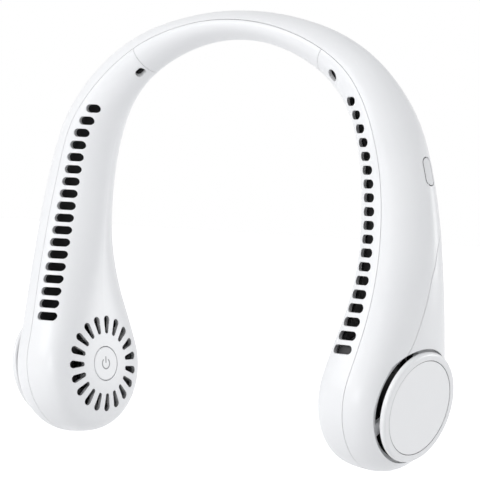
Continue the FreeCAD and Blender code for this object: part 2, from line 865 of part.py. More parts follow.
def motor_bracket(side_name):
    """Three-armed bracket with the bearing tube, screwed to the inner shell."""
    name = side_name + "_motor_bracket"
    level, thickness = "Sizes.bracket_level", "Sizes.bracket_thickness"
    hub = cylinder(name + "_hub", "Sizes.bracket_hub_radius", level, thickness)
    solids, holes = [hub], []
    for index, angle in enumerate(bracket_angles):
        arm = doc.addObject("Part::Box", f"{name}_arm_{index}")
        arm.setExpression("Length", "Sizes.boss_circle")
        arm.setExpression("Width", "Sizes.bracket_arm_width")
        arm.setExpression("Height", thickness)
        arm.setExpression("Placement.Base.x", f"Sizes.bracket_arm_width / 2 * sin({angle} deg)")
        arm.setExpression("Placement.Base.y", f"-Sizes.bracket_arm_width / 2 * cos({angle} deg)")
        arm.setExpression("Placement.Base.z", level)
        arm.setExpression("Placement.Rotation.Angle", f"{angle} deg")
        eye = cylinder(f"{name}_eye_{index}", "Sizes.boss_radius", level, thickness)
        on_circle(eye, "Sizes.boss_circle", angle, level)
        hole = cylinder(f"{name}_hole_{index}", "Sizes.screw_radius + Sizes.fit_gap", level, thickness)
        on_circle(hole, "Sizes.boss_circle", angle, level)
        solids += [arm, eye]
        holes.append(hole)
    stem = cylinder(name + "_stem", "Sizes.tube_radius", tube_low, "Sizes.tube_length")
    bore = cylinder(name + "_bore", "Sizes.bearing_radius + Sizes.fit_gap", tube_low, "Sizes.tube_length")
    blank = fuse(name + "_blank", solids + [stem])
    bracket = cut(name, blank, fuse(name + "_holes", holes + [bore]))
    seat(bracket, name, drum_places[side_name])


def bearings(side_name):
    name = side_name + "_bearings"
    bore = "Sizes.shaft_radius + Sizes.shaft_clearance"
    levels = (f"{tube_low} + Sizes.thrust_gap", f"{tube_top} - Sizes.bearing_length")
    bushes = []
    for index, level in enumerate(levels):
        bushes.append(tube(f"{name}_{index}", "Sizes.bearing_radius", bore, level, "Sizes.bearing_length"))
    seat(compound(name, bushes), name, drum_places[side_name])


def motor_shaft(side_name):
    name = side_name + "_motor_shaft"
    foot = f"{tube_low} + Sizes.thrust_gap"
    pin = cylinder(name + "_pin", "Sizes.shaft_radius", foot, "Sizes.shaft_length")
    seat(compound(name, [pin]), name, drum_places[side_name])


def stator(side_name):
    """Toothed core on the bearing tube."""
    name = side_name + "_stator_core"
    yoke = cylinder(name + "_yoke", "Sizes.yoke_radius", "Sizes.core_level", "Sizes.core_height")
    rim = tube(
        name + "_rim",
        "Sizes.core_radius",
        "Sizes.core_radius - Sizes.tooth_tip_depth",
        "Sizes.core_level",
        "Sizes.core_height",
    )
    solids = [yoke]
    gaps = []
    count = int(size("tooth_count"))
    for index in range(count):
        angle = 360 * index / count
        tooth = doc.addObject("Part::Box", f"{name}_tooth_{index}")
        tooth.setExpression("Length", "Sizes.core_radius - Sizes.tooth_tip_depth / 2")
        tooth.setExpression("Width", "Sizes.tooth_width")
        tooth.setExpression("Height", "Sizes.core_height")
        tooth.setExpression("Placement.Base.x", f"Sizes.tooth_width / 2 * sin({angle} deg)")
        tooth.setExpression("Placement.Base.y", f"-Sizes.tooth_width / 2 * cos({angle} deg)")
        tooth.setExpression("Placement.Base.z", "Sizes.core_level")
        tooth.setExpression("Placement.Rotation.Angle", f"{angle} deg")
        solids.append(tooth)
        half_step = angle + 180 / count
        gap = doc.addObject("Part::Box", f"{name}_gap_{index}")
        gap.setExpression("Length", "Sizes.core_radius")
        gap.setExpression("Width", "Sizes.tooth_tip_depth")
        gap.setExpression("Height", "Sizes.core_height")
        gap.setExpression("Placement.Base.x", f"Sizes.yoke_radius * cos({half_step} deg)")
        gap.setExpression("Placement.Base.y", f"Sizes.yoke_radius * sin({half_step} deg)")
        gap.setExpression("Placement.Base.z", "Sizes.core_level")
        gap.setExpression("Placement.Rotation.Angle", f"{half_step} deg")
        gaps.append(gap)
    tips = cut(name + "_tips", rim, fuse(name + "_gaps", gaps))
    blank = fuse(name + "_blank", solids + [tips])
    bore = cylinder(
        name + "_bore", "Sizes.tube_radius + Sizes.fit_gap", "Sizes.core_level", "Sizes.core_height"
    )
    seat(cut(name, blank, bore), name, drum_places[side_name])


def stator_coils(side_name):
    """A winding round each tooth of the core, as a group of separate solids."""
    name = side_name + "_stator_coils"
    inner = size("yoke_radius") + size("coil_thickness")
    width = size("tooth_width") + 2 * (size("coil_thickness") + size("fit_gap"))
    tip_inner = size("core_radius") - size("tooth_tip_depth")
    run = math.sqrt(tip_inner**2 - (width / 2) ** 2) - size("fit_gap") - inner
    low = size("core_level") - size("coil_thickness") - size("fit_gap")
    height = size("core_height") + 2 * (size("coil_thickness") + size("fit_gap"))
    middle = Vector(inner + run / 2, 0, 0)
    block = slab(run, width, height, middle + drum_axis * low)
    window_low = drum_axis * (low + size("coil_thickness"))
    window_height = height - 2 * size("coil_thickness")
    window = slab(2 * run, width - 2 * size("coil_thickness"), window_height, middle + window_low)
    coil = block.cut(window)
    count = int(size("tooth_count"))
    coils = []
    for index in range(count):
        turned = coil.copy()
        turned.rotate(origin, drum_axis, 360 * index / count)
        coils.append(turned)
    piece = keep(name, Part.makeCompound(coils))
    piece.Placement = drum_places[side_name]


def rotor(side_name):
    """Steel cup with its ring magnet."""
    name = side_name + "_rotor_cup"
    shell = cylinder(name + "_shell", cup_outer, "Sizes.cup_level", "Sizes.cup_height")
    boss_low = "Sizes.cup_level + Sizes.cup_height"
    boss = cylinder(name + "_boss", "Sizes.cup_boss_radius", boss_low, "Sizes.cup_boss_height")
    well = cylinder(name + "_well", cup_inner, "Sizes.cup_level", "Sizes.cup_height - Sizes.cup_wall")
    bore = cylinder(
        name + "_bore", shaft_bore, "Sizes.cup_level", "Sizes.cup_height + Sizes.cup_boss_height"
    )
    blank = fuse(name + "_blank", [shell, boss])
    seat(cut(name, blank, fuse(name + "_hollow", [well, bore])), name, drum_places[side_name])
    magnet_name = side_name + "_rotor_magnet"
    magnet = tube(
        magnet_name,
        "Sizes.core_radius + Sizes.magnet_gap + Sizes.magnet_thickness",
        "Sizes.core_radius + Sizes.magnet_gap",
        "Sizes.cup_level",
        "Sizes.magnet_height",
    )
    seat(magnet, magnet_name, drum_places[side_name])


def bound_outline(sketch, points):
    """Closed outline in a sketch, each corner held to the sheet in X and Y."""
    start = sketch.GeometryCount
    count = len(points)
    values = [Vector(sheet.evalExpression(x), sheet.evalExpression(y), 0) for x, y in points]
    for index in range(count):
        sketch.addGeometry(Part.LineSegment(values[index], values[(index + 1) % count]), False)
    for index in range(count):
        following = start + (index + 1) % count
        sketch.addConstraint(Sketcher.Constraint("Coincident", start + index, 2, following, 1))
    for index, (x, y) in enumerate(points):
        for kind, wanted, value in (("DistanceX", x, values[index].x), ("DistanceY", y, values[index].y)):
            number = sketch.addConstraint(Sketcher.Constraint(kind, -1, 1, start + index, 1, value))
            sketch.setExpression(f"Constraints[{number}]", wanted)


def body_sketch(body, name, role):
    sketch = body.newObject("Sketcher::SketchObject", name)
    plane = next(item for item in body.Origin.OriginFeatures if item.Role == role)
    sketch.AttachmentSupport = [(plane, "")]
    sketch.MapMode = "FlatFace"
    return sketch


def revolution(body, sketch, name):
    turned = body.newObject("PartDesign::Revolution", name)
    turned.Profile = sketch
    turned.ReferenceAxis = (sketch, ["V_Axis"])
    turned.Angle = 360
    return turned


def impeller(side_name):
    """Cage impeller: hub cap and carrier, leaning blades, and a ring at each end."""
    name = side_name + "_impeller"
    body = doc.addObject("PartDesign::Body", name)
    hub_outer = f"{hub_inner} + Sizes.hub_wall"
    hub_low = "Sizes.cage_ring_height"
    cup_top = "Sizes.cup_level + Sizes.cup_height - Sizes.impeller_level + Sizes.fit_gap"
    carrier_top = "Sizes.carrier_level + Sizes.carrier_thickness"
    hub_sketch = body_sketch(body, name + "_hub_profile", "XZ_Plane")
    hub_points = [
        ("Sizes.cup_boss_radius + Sizes.fit_gap", cup_top),
        (hub_inner, cup_top),
        (hub_inner, hub_low),
        (hub_outer, hub_low),
        (hub_outer, "Sizes.carrier_level"),
        ("Sizes.impeller_radius", "Sizes.carrier_level"),
        ("Sizes.impeller_radius", carrier_top),
        (hub_outer, carrier_top),
        (hub_outer, f"{cup_top} + Sizes.hub_top"),
        ("Sizes.cup_boss_radius + Sizes.fit_gap", f"{cup_top} + Sizes.hub_top"),
    ]
    bound_outline(hub_sketch, hub_points)
    revolution(body, hub_sketch, name + "_hub")
    blade_sketch = body_sketch(body, name + "_blade_profile", "XY_Plane")
    lean = "Sizes.blade_lean * 1 deg"
    half = "Sizes.blade_thickness / 2"
    tip = f"(Sizes.impeller_radius - {half})"
    middle = "((Sizes.blade_inner_radius + Sizes.impeller_radius) / 2)"
    blade_points = [
        ("Sizes.blade_inner_radius", half),
        (f"{middle} * cos({lean} / 3)", f"{middle} * sin({lean} / 3) + {half}"),
        (f"{tip} * cos({lean})", f"{tip} * sin({lean}) + {half}"),
        (f"{tip} * cos({lean}) + {half}", f"{tip} * sin({lean}) - {half}"),
        (f"{middle} * cos({lean} / 3) + {half}", f"{middle} * sin({lean} / 3) - {half}"),
        (f"Sizes.blade_inner_radius + {half}", f"{half} / 2"),
    ]
    bound_outline(blade_sketch, blade_points)
    blade = body.newObject("PartDesign::Pad", name + "_blade")
    blade.Profile = blade_sketch
    blade.setExpression("Length", "Sizes.impeller_height")
    pattern = body.newObject("PartDesign::PolarPattern", name + "_blades")
    pattern.Originals = [blade]
    pattern.Axis = (blade_sketch, ["N_Axis"])
    pattern.Angle = 360
    pattern.setExpression("Occurrences", "Sizes.blade_count")
    body.Tip = pattern
    ring_sketch = body_sketch(body, name + "_ring_profile", "XZ_Plane")
    ring_outer = "Sizes.impeller_radius"
    ring_inner = f"{ring_outer} - Sizes.cage_ring_width"
    ring_levels = (
        ("Sizes.fit_gap", "Sizes.cage_ring_height"),
        ("Sizes.impeller_height - Sizes.cage_ring_height", "Sizes.impeller_height - Sizes.fit_gap"),
    )
    for low, high in ring_levels:
        corners = [(ring_inner, low), (ring_outer, low), (ring_outer, high), (ring_inner, high)]
        bound_outline(ring_sketch, corners)
    body.Tip = revolution(body, ring_sketch, name + "_rings")
    body.Label = name
    lift = Placement(drum_axis * size("impeller_level"), Rotation())
    body.Placement = drum_places[side_name].multiply(lift)
    pieces.append(body)


for side_name in sides:
    disc_ring(side_name)
    disc_plate(side_name)
    motor_bracket(side_name)
    bearings(side_name)
    motor_shaft(side_name)
    stator(side_name)
    stator_coils(side_name)
    rotor(side_name)
    impeller(side_name)

# Screws: one group under the discs and one on the brackets

def screw_group(label, places, angles_of, circle, level, pointing):
    for_sides = []
    for side_name in sides:
        screws = []
        for index, angle in enumerate(angles_of[side_name]):
            screws.append(screw(f"{label}_{side_name}_{index}", circle, angle, level, pointing))
        group = compound(f"{label}_{side_name}", screws)
        group.Placement = places[side_name]
        for_sides.append(group)
    whole = compound(label, for_sides)
    whole.Label = label
    pieces.append(whole)


floor_underside = "Sizes.floor_level - Sizes.floor_thickness"
screw_group("disc_screws", disc_places, spoke_angles, "Sizes.leg_circle", floor_underside, 1)
both_brackets = {side_name: bracket_angles for side_name in sides}
screw_group("bracket_screws", drum_places, both_brackets, "Sizes.boss_circle", tube_low, -1)

# Power button, with a flange that keeps it in its hole, and the switch behind it

wall_level = "Sizes.wall - Sizes.drum_half_height"
cap = cylinder(
    "power_button_cap",
    "Sizes.button_radius",
    "-Sizes.drum_half_height",
    "Sizes.wall + Sizes.button_flange_gap",
)
doc.recompute()
rounded_cap = doc.addObject("Part::Fillet", "power_button_rounded")
rounded_cap.Base = cap
cap_face = min(cap.Shape.Faces, key=lambda face: face.CenterOfMass.z)
cap_edges = [index for index, edge in enumerate(cap.Shape.Edges, 1) if edge.isSame(cap_face.Edges[0])]
rounded_cap.Edges = [(index, size("button_round"), size("button_round")) for index in cap_edges]
flange = cylinder(
    "power_button_flange",
    "Sizes.button_radius + Sizes.button_flange",
    f"{wall_level} + Sizes.button_flange_gap",
    "Sizes.button_flange_thickness",
)
seat(fuse("power_button", [rounded_cap, flange]), "power_button", drum_places["left"])

board = cylinder("main_board_disc", "Sizes.board_radius", "Sizes.board_level", "Sizes.board_thickness")
seat(compound("main_board", [board]), "main_board", drum_places["left"])

switch_block = doc.addObject("Part::Box", "power_switch_block")
switch_block.setExpression("Length", "Sizes.switch_side")
switch_block.setExpression("Width", "Sizes.switch_side")
switch_block.setExpression("Height", "Sizes.switch_height")
switch_block.setExpression("Placement.Base.x", "-Sizes.switch_side / 2")
switch_block.setExpression("Placement.Base.y", "-Sizes.switch_side / 2")
switch_block.setExpression("Placement.Base.z", "Sizes.board_level - Sizes.switch_height")
flange_top = f"{wall_level} + Sizes.button_flange_gap + Sizes.button_flange_thickness"
plunger_low = f"{flange_top} + Sizes.button_travel + Sizes.press_gap"
plunger_height = f"Sizes.board_level - Sizes.switch_height - ({plunger_low})"
plunger = cylinder("power_switch_plunger", "Sizes.plunger_radius", plunger_low, plunger_height)
seat(fuse("power_switch", [switch_block, plunger]), "power_switch", drum_places["left"])

# Charging socket, its board and the flap over it, in the frame of the port

def rounded_bar(length, width, low, high):
    face = stadium(length, width)
    face.translate(drum_axis * low)
    return face.extrude(drum_axis * (high - low))


can = rounded_bar(size("socket_length"), size("socket_width"), socket_low, socket_top)
mouth_length = size("socket_length") - 2 * size("socket_wall")
mouth_width = size("socket_width") - 2 * size("socket_wall")
mouth = rounded_bar(mouth_length, mouth_width, socket_low + size("socket_wall"), socket_top)
tongue_height = size("socket_depth") - size("socket_tongue")
tongue = slab(
    mouth_length - size("socket_width"), size("socket_tongue"), tongue_height, drum_axis * socket_low
)
keep("charge_socket", in_port(can.cut(mouth).fuse(tongue)))

board_low = socket_low - size("charge_board_thickness")
charge_board = slab(
    size("charge_board_length"),
    size("charge_board_width"),
    size("charge_board_thickness"),
    drum_axis * board_low,
)
keep("charge_board", in_port(charge_board))

flap_blank = port_bar(size("flap_gap")).common(full_band)
flap = flap_blank.cut(band(size("flap_thickness")))
keep("port_flap", flap)

# Wiring loom from one battery cell, over the neck, to the other

cell_end = size("cell_path") - size("cell_length") / 2
shoulder_end = neck_arc + shoulder_arc
loom_lengths = (0, neck_arc / 2, neck_arc, neck_arc + shoulder_arc / 2, shoulder_end)
loom_lengths += ((shoulder_end + cell_end) / 2, cell_end)


def loom_point(length, side):
    centre, along, outward = path_frame(length)
    return mirrored(centre + outward * size("loom_offset"), side)


loom_arcs = []
for side in sides.values():
    for first, middle, last in zip(loom_lengths[0::2], loom_lengths[1::2], loom_lengths[2::2]):
        points = [loom_point(length, side) for length in (first, middle, last)]
        loom_arcs.append(Part.Arc(*points).toShape())
loom_path = Part.Wire(Part.__sortEdges__(loom_arcs))
loom_start = loom_path.OrderedVertexes[0].Point
loom_edge = loom_path.OrderedEdges[0]
loom_profile = Part.Wire(
    Part.makeCircle(size("loom_radius"), loom_start, loom_edge.tangentAt(loom_edge.FirstParameter))
)
keep("neck_loom", loom_path.makePipeShell([loom_profile], True, False))

# Checks before anything is written

doc.recompute()
for item in doc.Objects:
    if {"Invalid", "Error"} & set(item.State):
        raise RuntimeError(f"{item.Label} failed: {item.State}")
for piece in pieces:
    if piece.Shape.isNull() or not piece.Shape.isValid():
        raise RuntimeError(f"{piece.Label} has no valid shape")

os.makedirs("parts", exist_ok=True)
for piece in pieces:
    piece.Shape.exportStep(f"parts/{piece.Label}.step")
    solids = piece.Shape.Solids
    print(piece.Label, len(solids), "solids", round(sum(solid.Volume for solid in solids), 1), "mm3")
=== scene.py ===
import json
import math

import bpy
from mathutils import Matrix, Vector


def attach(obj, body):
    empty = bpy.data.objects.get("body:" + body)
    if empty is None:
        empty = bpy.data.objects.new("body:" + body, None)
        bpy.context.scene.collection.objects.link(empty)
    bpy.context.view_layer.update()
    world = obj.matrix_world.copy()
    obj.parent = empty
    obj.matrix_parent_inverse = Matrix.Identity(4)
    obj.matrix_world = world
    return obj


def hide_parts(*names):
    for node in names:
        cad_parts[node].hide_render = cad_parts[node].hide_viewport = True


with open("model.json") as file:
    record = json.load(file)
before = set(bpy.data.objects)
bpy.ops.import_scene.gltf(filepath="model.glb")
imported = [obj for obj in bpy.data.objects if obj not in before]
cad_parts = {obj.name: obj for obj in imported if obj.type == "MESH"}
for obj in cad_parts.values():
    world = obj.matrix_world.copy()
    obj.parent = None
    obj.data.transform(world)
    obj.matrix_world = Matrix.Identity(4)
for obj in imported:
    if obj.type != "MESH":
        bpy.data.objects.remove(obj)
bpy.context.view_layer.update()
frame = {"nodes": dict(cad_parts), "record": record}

nodes = frame["nodes"]
print("frame loaded:", len(nodes), "nodes")


# Shader maths: a socket that can be added, multiplied and so on

class Socket:
    def __init__(self, tree, link=None):
        self.tree = tree
        self.link = link

    def node(self, kind, settings=None, inputs=None, output=0):
        made = self.tree.nodes.new(kind)
        for name, value in (settings or {}).items():
            setattr(made, name, value)
        for name, value in (inputs or {}).items():
            if isinstance(value, Socket):
                self.tree.links.new(value.link, made.inputs[name])
            else:
                made.inputs[name].default_value = value
        return Socket(self.tree, made.outputs[output])

    def maths(self, operation, first, second):
        return self.node("ShaderNodeMath", {"operation": operation}, {0: first, 1: second})

    def __add__(self, other):
        return self.maths("ADD", self, other)

    def __radd__(self, other):
        return self.maths("ADD", other, self)

    def __sub__(self, other):
        return self.maths("SUBTRACT", self, other)

    def __rsub__(self, other):
        return self.maths("SUBTRACT", other, self)

    def __mul__(self, other):
        return self.maths("MULTIPLY", self, other)

    def __rmul__(self, other):
        return self.maths("MULTIPLY", other, self)

    def __gt__(self, other):
        return self.maths("GREATER_THAN", self, other)

    # a noise from 0 to 1, moved to lie about 0
    def centred(self):
        return self - 0.5

    # a colour between two others, by this value; 6, 7 and 2 are the mix node's colour sockets
    def mix(self, first, second):
        first, second = (end if isinstance(end, Socket) else (*end, 1) for end in (first, second))
        return self.node("ShaderNodeMix", {"data_type": "RGBA"}, {0: self, 6: first, 7: second}, 2)

    # 1 where the camera sees the surface, straight on or through a mirror or glass
    def seen(self):
        kinds = ("Is Camera Ray", "Is Glossy Ray", "Is Transmission Ray")
        camera, glossy, passed = (self.node("ShaderNodeLightPath", output=kind) for kind in kinds)
        return self.maths("MINIMUM", camera + glossy + passed, 1)


# settings that every finish shares
finishLook = {
    "noiseRoughness": 0.55, "grainDetail": 3, "grainRoughness": 0.04, "opennessSamples": 8, "edgeSamples": 4,
}


class Finish:
    # one material: its shader, and the object's own coordinates
    def __init__(self, name, **constants):
        self.material = bpy.data.materials.new(name)
        self.material.use_nodes = True
        self.tree = self.material.node_tree
        self.shader = self.tree.nodes["Principled BSDF"]
        self.start = Socket(self.tree)
        self.place = self.start.node("ShaderNodeTexCoord", output="Object")
        for socketName, value in constants.items():
            self.shader.inputs[socketName.replace("_", " ")].default_value = value

    def noise(self, scale, detail=2, stretch=None):
        where = self.place
        if stretch:
            where = self.start.node("ShaderNodeMapping", None, {"Vector": where, "Scale": stretch})
        roughness = finishLook["noiseRoughness"]
        inputs = {"Vector": where, "Scale": scale, "Detail": detail, "Roughness": roughness}
        return self.start.node("ShaderNodeTexNoise", None, inputs)

    # 1 in the open, falling to 0 in a narrow slot of the same piece or in the seam with another: the mask
    # that places painted shade
    def openness(self, distance, closed, free, ownOnly):
        settings = {"samples": finishLook["opennessSamples"], "only_local": ownOnly}
        seen = self.start.node("ShaderNodeAmbientOcclusion", settings, {"Distance": distance}, "AO")
        ends = {"Value": seen, "From Min": closed, "From Max": free}
        return self.start.node("ShaderNodeMapRange", None, ends)

    def bump(self, height, distance, normal=None):
        inputs = {"Height": height, "Distance": distance, "Strength": 1}
        if normal:
            inputs["Normal"] = normal
        return self.start.node("ShaderNodeBump", None, inputs)

    def feed(self, socketName, value):
        self.tree.links.new(value.link, self.shader.inputs[socketName])


def mouldedPlastic(name, look):
    # injection-moulded plastic: drifting tone, fine grain, edges broken by the tool's radius, and where the
    # look gives a shade colour, painted shade darkening its slots and seams
    finish = Finish(name, IOR=look["ior"])
    drift = finish.noise(look["driftScale"])
    grain = finish.noise(look["grainScale"], finishLook["grainDetail"])
    colour = drift.mix(look["dark"], look["light"])
    # painted shade: the colour falls to a dark grey deep in slots and seams, where shade would fall
    if "slot" in look:
        colour = finish.openness(**look["slotReach"]).mix(look["slot"], colour)
    finish.feed("Base Color", colour)
    swing = look["roughnessSwing"] * drift.centred()
    finish.feed("Roughness", look["roughness"] + swing + finishLook["grainRoughness"] * grain.centred())
    samples = {"samples": finishLook["edgeSamples"]}
    edge = finish.start.node("ShaderNodeBevel", samples, {"Radius": look["edgeRadius"]})
    finish.feed("Normal", finish.bump(grain, look["grainDepth"], edge))
    return finish.material


plasticLooks = {
    "white_shell": {
        "dark": (0.815, 0.822, 0.836), "light": (0.85, 0.855, 0.865), "driftScale": 38,
        "roughness": 0.36, "roughnessSwing": 0.08, "grainScale": 2600, "grainDepth": 0.000004,
        # painted shade: near-black grey painted deep in the shell's own slots, standing in for their shade
        "edgeRadius": 0.00035, "ior": 1.5, "slot": (0.03, 0.03, 0.032),
        "slotReach": {"distance": 0.004, "closed": 0.58, "free": 0.92, "ownOnly": True},
    },
    "white_cap": {
        "dark": (0.83, 0.836, 0.848), "light": (0.865, 0.87, 0.878), "driftScale": 60,
        "roughness": 0.22, "roughnessSwing": 0.06, "grainScale": 3200, "grainDepth": 0.000002,
        "edgeRadius": 0.0003, "ior": 1.5,
    },
    "white_plate": {
        # partly painted light: the plate is its own matte white, but it is made lighter than the shell's so
        # that its slightly downward face reads as lit
        "dark": (0.89, 0.895, 0.905), "light": (0.915, 0.919, 0.927), "driftScale": 45,
        "roughness": 0.44, "roughnessSwing": 0.08, "grainScale": 4200, "grainDepth": 0.000006,
        # painted shade: dark grey painted where the plate meets another part, standing in for the shade in
        # the seam
        "edgeRadius": 0.0002, "ior": 1.47, "slot": (0.12, 0.12, 0.125),
        "slotReach": {"distance": 0.0005, "closed": 0.45, "free": 0.97, "ownOnly": False},
    },
    "white_silicone": {
        "dark": (0.78, 0.787, 0.80), "light": (0.82, 0.825, 0.835), "driftScale": 120,
        "roughness": 0.55, "roughnessSwing": 0.08, "grainScale": 3600, "grainDepth": 0.000006,
        # painted shade: dark grey painted where the silicone meets another part, standing in for the shade
        # in the seam
        "edgeRadius": 0.00025, "ior": 1.41, "slot": (0.12, 0.12, 0.125),
        "slotReach": {"distance": 0.0005, "closed": 0.45, "free": 0.97, "ownOnly": False},
    },
    "duct_black": {
        "dark": (0.024, 0.024, 0.026), "light": (0.036, 0.036, 0.039), "driftScale": 90,
        "roughness": 0.6, "roughnessSwing": 0.12, "grainScale": 1800, "grainDepth": 0.00001,
        "edgeRadius": 0.0002, "ior": 1.5,
    },
    "impeller_black": {
        "dark": (0.016, 0.016, 0.017), "light": (0.03, 0.03, 0.032), "driftScale": 120,
        "roughness": 0.42, "roughnessSwing": 0.1, "grainScale": 2400, "grainDepth": 0.000005,
        "edgeRadius": 0.0002, "ior": 1.5,
    },
    "bracket_grey": {
        "dark": (0.09, 0.09, 0.094), "light": (0.14, 0.14, 0.146), "driftScale": 110,
        "roughness": 0.55, "roughnessSwing": 0.12, "grainScale": 1500, "grainDepth": 0.00001,
        "edgeRadius": 0.0002, "ior": 1.5,
    },
    "switch_black": {
        "dark": (0.02, 0.02, 0.02), "light": (0.05, 0.05, 0.052), "driftScale": 300,
        "roughness": 0.5, "roughnessSwing": 0.1, "grainScale": 3000, "grainDepth": 0.000006,
        "edgeRadius": 0.0001, "ior": 1.5,
    },
    "loom_sleeve": {
        "dark": (0.025, 0.025, 0.027), "light": (0.05, 0.05, 0.054), "driftScale": 160,
        "roughness": 0.6, "roughnessSwing": 0.12, "grainScale": 2000, "grainDepth": 0.00001,
        "edgeRadius": 0.0001, "ior": 1.45,
    },
}


# how much the lines and the stain change every metal
metalWear = {
    "lineTone": 0.6, "stainTone": 0.4, "lineRoughness": 0.16, "stainRoughness": 0.08, "stainDulling": 0.06,
}


def metal(name, look, wear):
    # turned or rolled metal: fine lines along one direction and a slow stain
    finish = Finish(name)
    lines = finish.noise(look["lineScale"], stretch=look["stretch"])
    stain = finish.noise(look["stainScale"])
    tone = wear["lineTone"] * lines + wear["stainTone"] * stain
    finish.feed("Base Color", tone.mix(look["dark"], look["light"]))
    finish.feed("Metallic", look["metallic"] - wear["stainDulling"] * stain)
    roughness = look["roughness"] + wear["lineRoughness"] * lines.centred()
    finish.feed("Roughness", roughness + wear["stainRoughness"] * stain.centred())
    finish.feed("Normal", finish.bump(lines, look["lineDepth"]))
    return finish.material


metalLooks = {
    "steel": {
        "dark": (0.46, 0.46, 0.48), "light": (0.68, 0.68, 0.70), "metallic": 1.0, "roughness": 0.3,
        "lineScale": 900, "stretch": (0.15, 1, 1), "stainScale": 120, "lineDepth": 0.000004,
    },
    "core_steel": {
        "dark": (0.16, 0.16, 0.18), "light": (0.36, 0.36, 0.38), "metallic": 0.95, "roughness": 0.45,
        "lineScale": 2200, "stretch": (1, 0.12, 0.12), "stainScale": 200, "lineDepth": 0.00002,
    },
    "copper_wire": {
        "dark": (0.36, 0.12, 0.045), "light": (0.72, 0.33, 0.15), "metallic": 0.9, "roughness": 0.32,
        "lineScale": 2600, "stretch": (1, 0.1, 0.1), "stainScale": 260, "lineDepth": 0.00004,
    },
    "bronze": {
        "dark": (0.38, 0.24, 0.10), "light": (0.60, 0.41, 0.19), "metallic": 0.9, "roughness": 0.45,
        "lineScale": 1800, "stretch": (1, 1, 1), "stainScale": 300, "lineDepth": 0.00001,
    },
    "ferrite": {
        "dark": (0.03, 0.03, 0.033), "light": (0.08, 0.08, 0.086), "metallic": 0.3, "roughness": 0.6,
        "lineScale": 1600, "stretch": (1, 1, 1), "stainScale": 200, "lineDepth": 0.00001,
    },
    "cell_foil": {
        "dark": (0.5, 0.51, 0.53), "light": (0.72, 0.73, 0.75), "metallic": 0.85, "roughness": 0.34,
        "lineScale": 320, "stretch": (1, 0.5, 0.3), "stainScale": 60, "lineDepth": 0.00006,
    },
}


boardLook = {
    "mask": (0.012, 0.014, 0.013), "track": (0.03, 0.036, 0.033), "tracksPerMetre": 320, "trackShare": 0.42,
    "scatter": 0.35, "trackHeight": 0.00003, "trackGloss": 0.08,
    "roughness": 0.38, "stainScale": 150, "stainRoughness": 0.12,
}


def circuitBoard(name, look):
    # black solder mask with the copper tracks showing under it
    finish = Finish(name)
    inputs = {"Vector": finish.place, "Scale": look["tracksPerMetre"], "Randomness": look["scatter"]}
    cell = finish.start.node(
        "ShaderNodeTexVoronoi", {"distance": "MANHATTAN", "feature": "F1"}, inputs, "Distance"
    )
    track = cell > look["trackShare"]
    stain = finish.noise(look["stainScale"])
    finish.feed("Base Color", track.mix(look["mask"], look["track"]))
    roughness = look["roughness"] + look["stainRoughness"] * stain.centred()
    finish.feed("Roughness", roughness - look["trackGloss"] * track)
    finish.feed("Normal", finish.bump(track, look["trackHeight"]))
    return finish.material


materials = {slot: mouldedPlastic(slot, look) for slot, look in plasticLooks.items()}
materials.update({slot: metal(slot, look, metalWear) for slot, look in metalLooks.items()})
materials["circuit_board"] = circuitBoard("circuit_board", boardLook)

for part in frame["record"]["subparts"]:
    mesh = nodes[part["node"]].data
    mesh.materials.clear()
    mesh.materials.append(materials[part["material_slot"]])
# the outer shell and the button get no painted shade in slots and seams
plainLook = {key: value for key, value in plasticLooks["white_shell"].items() if key != "slot"}
plainWhite = mouldedPlastic("white_shell_plain", plainLook)
nodes["power_button"].data.materials[0] = plainWhite
print("finishes made:", len(materials) + 1)


frontToBack = Vector((0, 1, 0))


def facing(across, normal):
    # the turn that takes X to across and Z to normal
    return Matrix((across, normal.cross(across), normal)).transposed()


def selectWhere(test):
    # faces, edges and points whose points all pass the test
    bpy.ops.mesh.select_all(action="DESELECT")
    bpy.ops.object.mode_set(mode="OBJECT")
    mesh = bpy.context.object.data
    for vertex in mesh.vertices:
        vertex.select = test(vertex.co)
    for edge in mesh.edges:
        edge.select = all(mesh.vertices[index].select for index in edge.vertices)
    for face in mesh.polygons:
        face.select = all(mesh.vertices[index].select for index in face.vertices)
    bpy.ops.object.mode_set(mode="EDIT")


# Three pieces are trimmed further: wider intakes, the right vent nearer the front, a duct window closed

trimLook = {"weld": 0.000001, "smoothDegrees": 30}


def shellCopy(nodeName, look):
    # a welded copy of one CAD piece, left as the active object
    bpy.ops.object.select_all(action="DESELECT")
    shell = bpy.data.objects.new(nodeName + "_trimmed", nodes[nodeName].data.copy())
    bpy.context.scene.collection.objects.link(shell)
    shell.select_set(True)
    bpy.context.view_layer.objects.active = shell
    bpy.ops.mesh.customdata_custom_splitnormals_clear()
    bpy.ops.object.mode_set(mode="EDIT")
    bpy.ops.mesh.select_all(action="SELECT")
    bpy.ops.mesh.remove_doubles(threshold=look["weld"])
    bpy.ops.object.mode_set(mode="OBJECT")
    return shell


def cutAway(shell, tool):
    trim = shell.modifiers.new("trim", "BOOLEAN")
    trim.operation = "DIFFERENCE"
    trim.solver = "EXACT"
    trim.object = tool
    bpy.context.view_layer.objects.active = shell
    bpy.ops.object.modifier_apply(modifier=trim.name)
    bpy.data.objects.remove(tool)


def finishShell(shell, nodeName, look):
    bpy.ops.object.select_all(action="DESELECT")
    shell.select_set(True)
    bpy.context.view_layer.objects.active = shell
    bpy.ops.object.shade_smooth_by_angle(angle=math.radians(look["smoothDegrees"]))
    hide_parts(nodeName)
    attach(shell, "band")


# topFacing is how square to the drum's axis a face of the plate's top is; overrun makes a cut clean
intakeLook = {
    "inner": 0.0185, "outer": 0.0219, "floorUnderPlate": 0.00555, "below": 0.0022, "above": 0.0009,
    "spokes": 3, "spokeWidth": 0.0056, "segments": 120, "topFacing": 0.9, "overrun": 2,
}


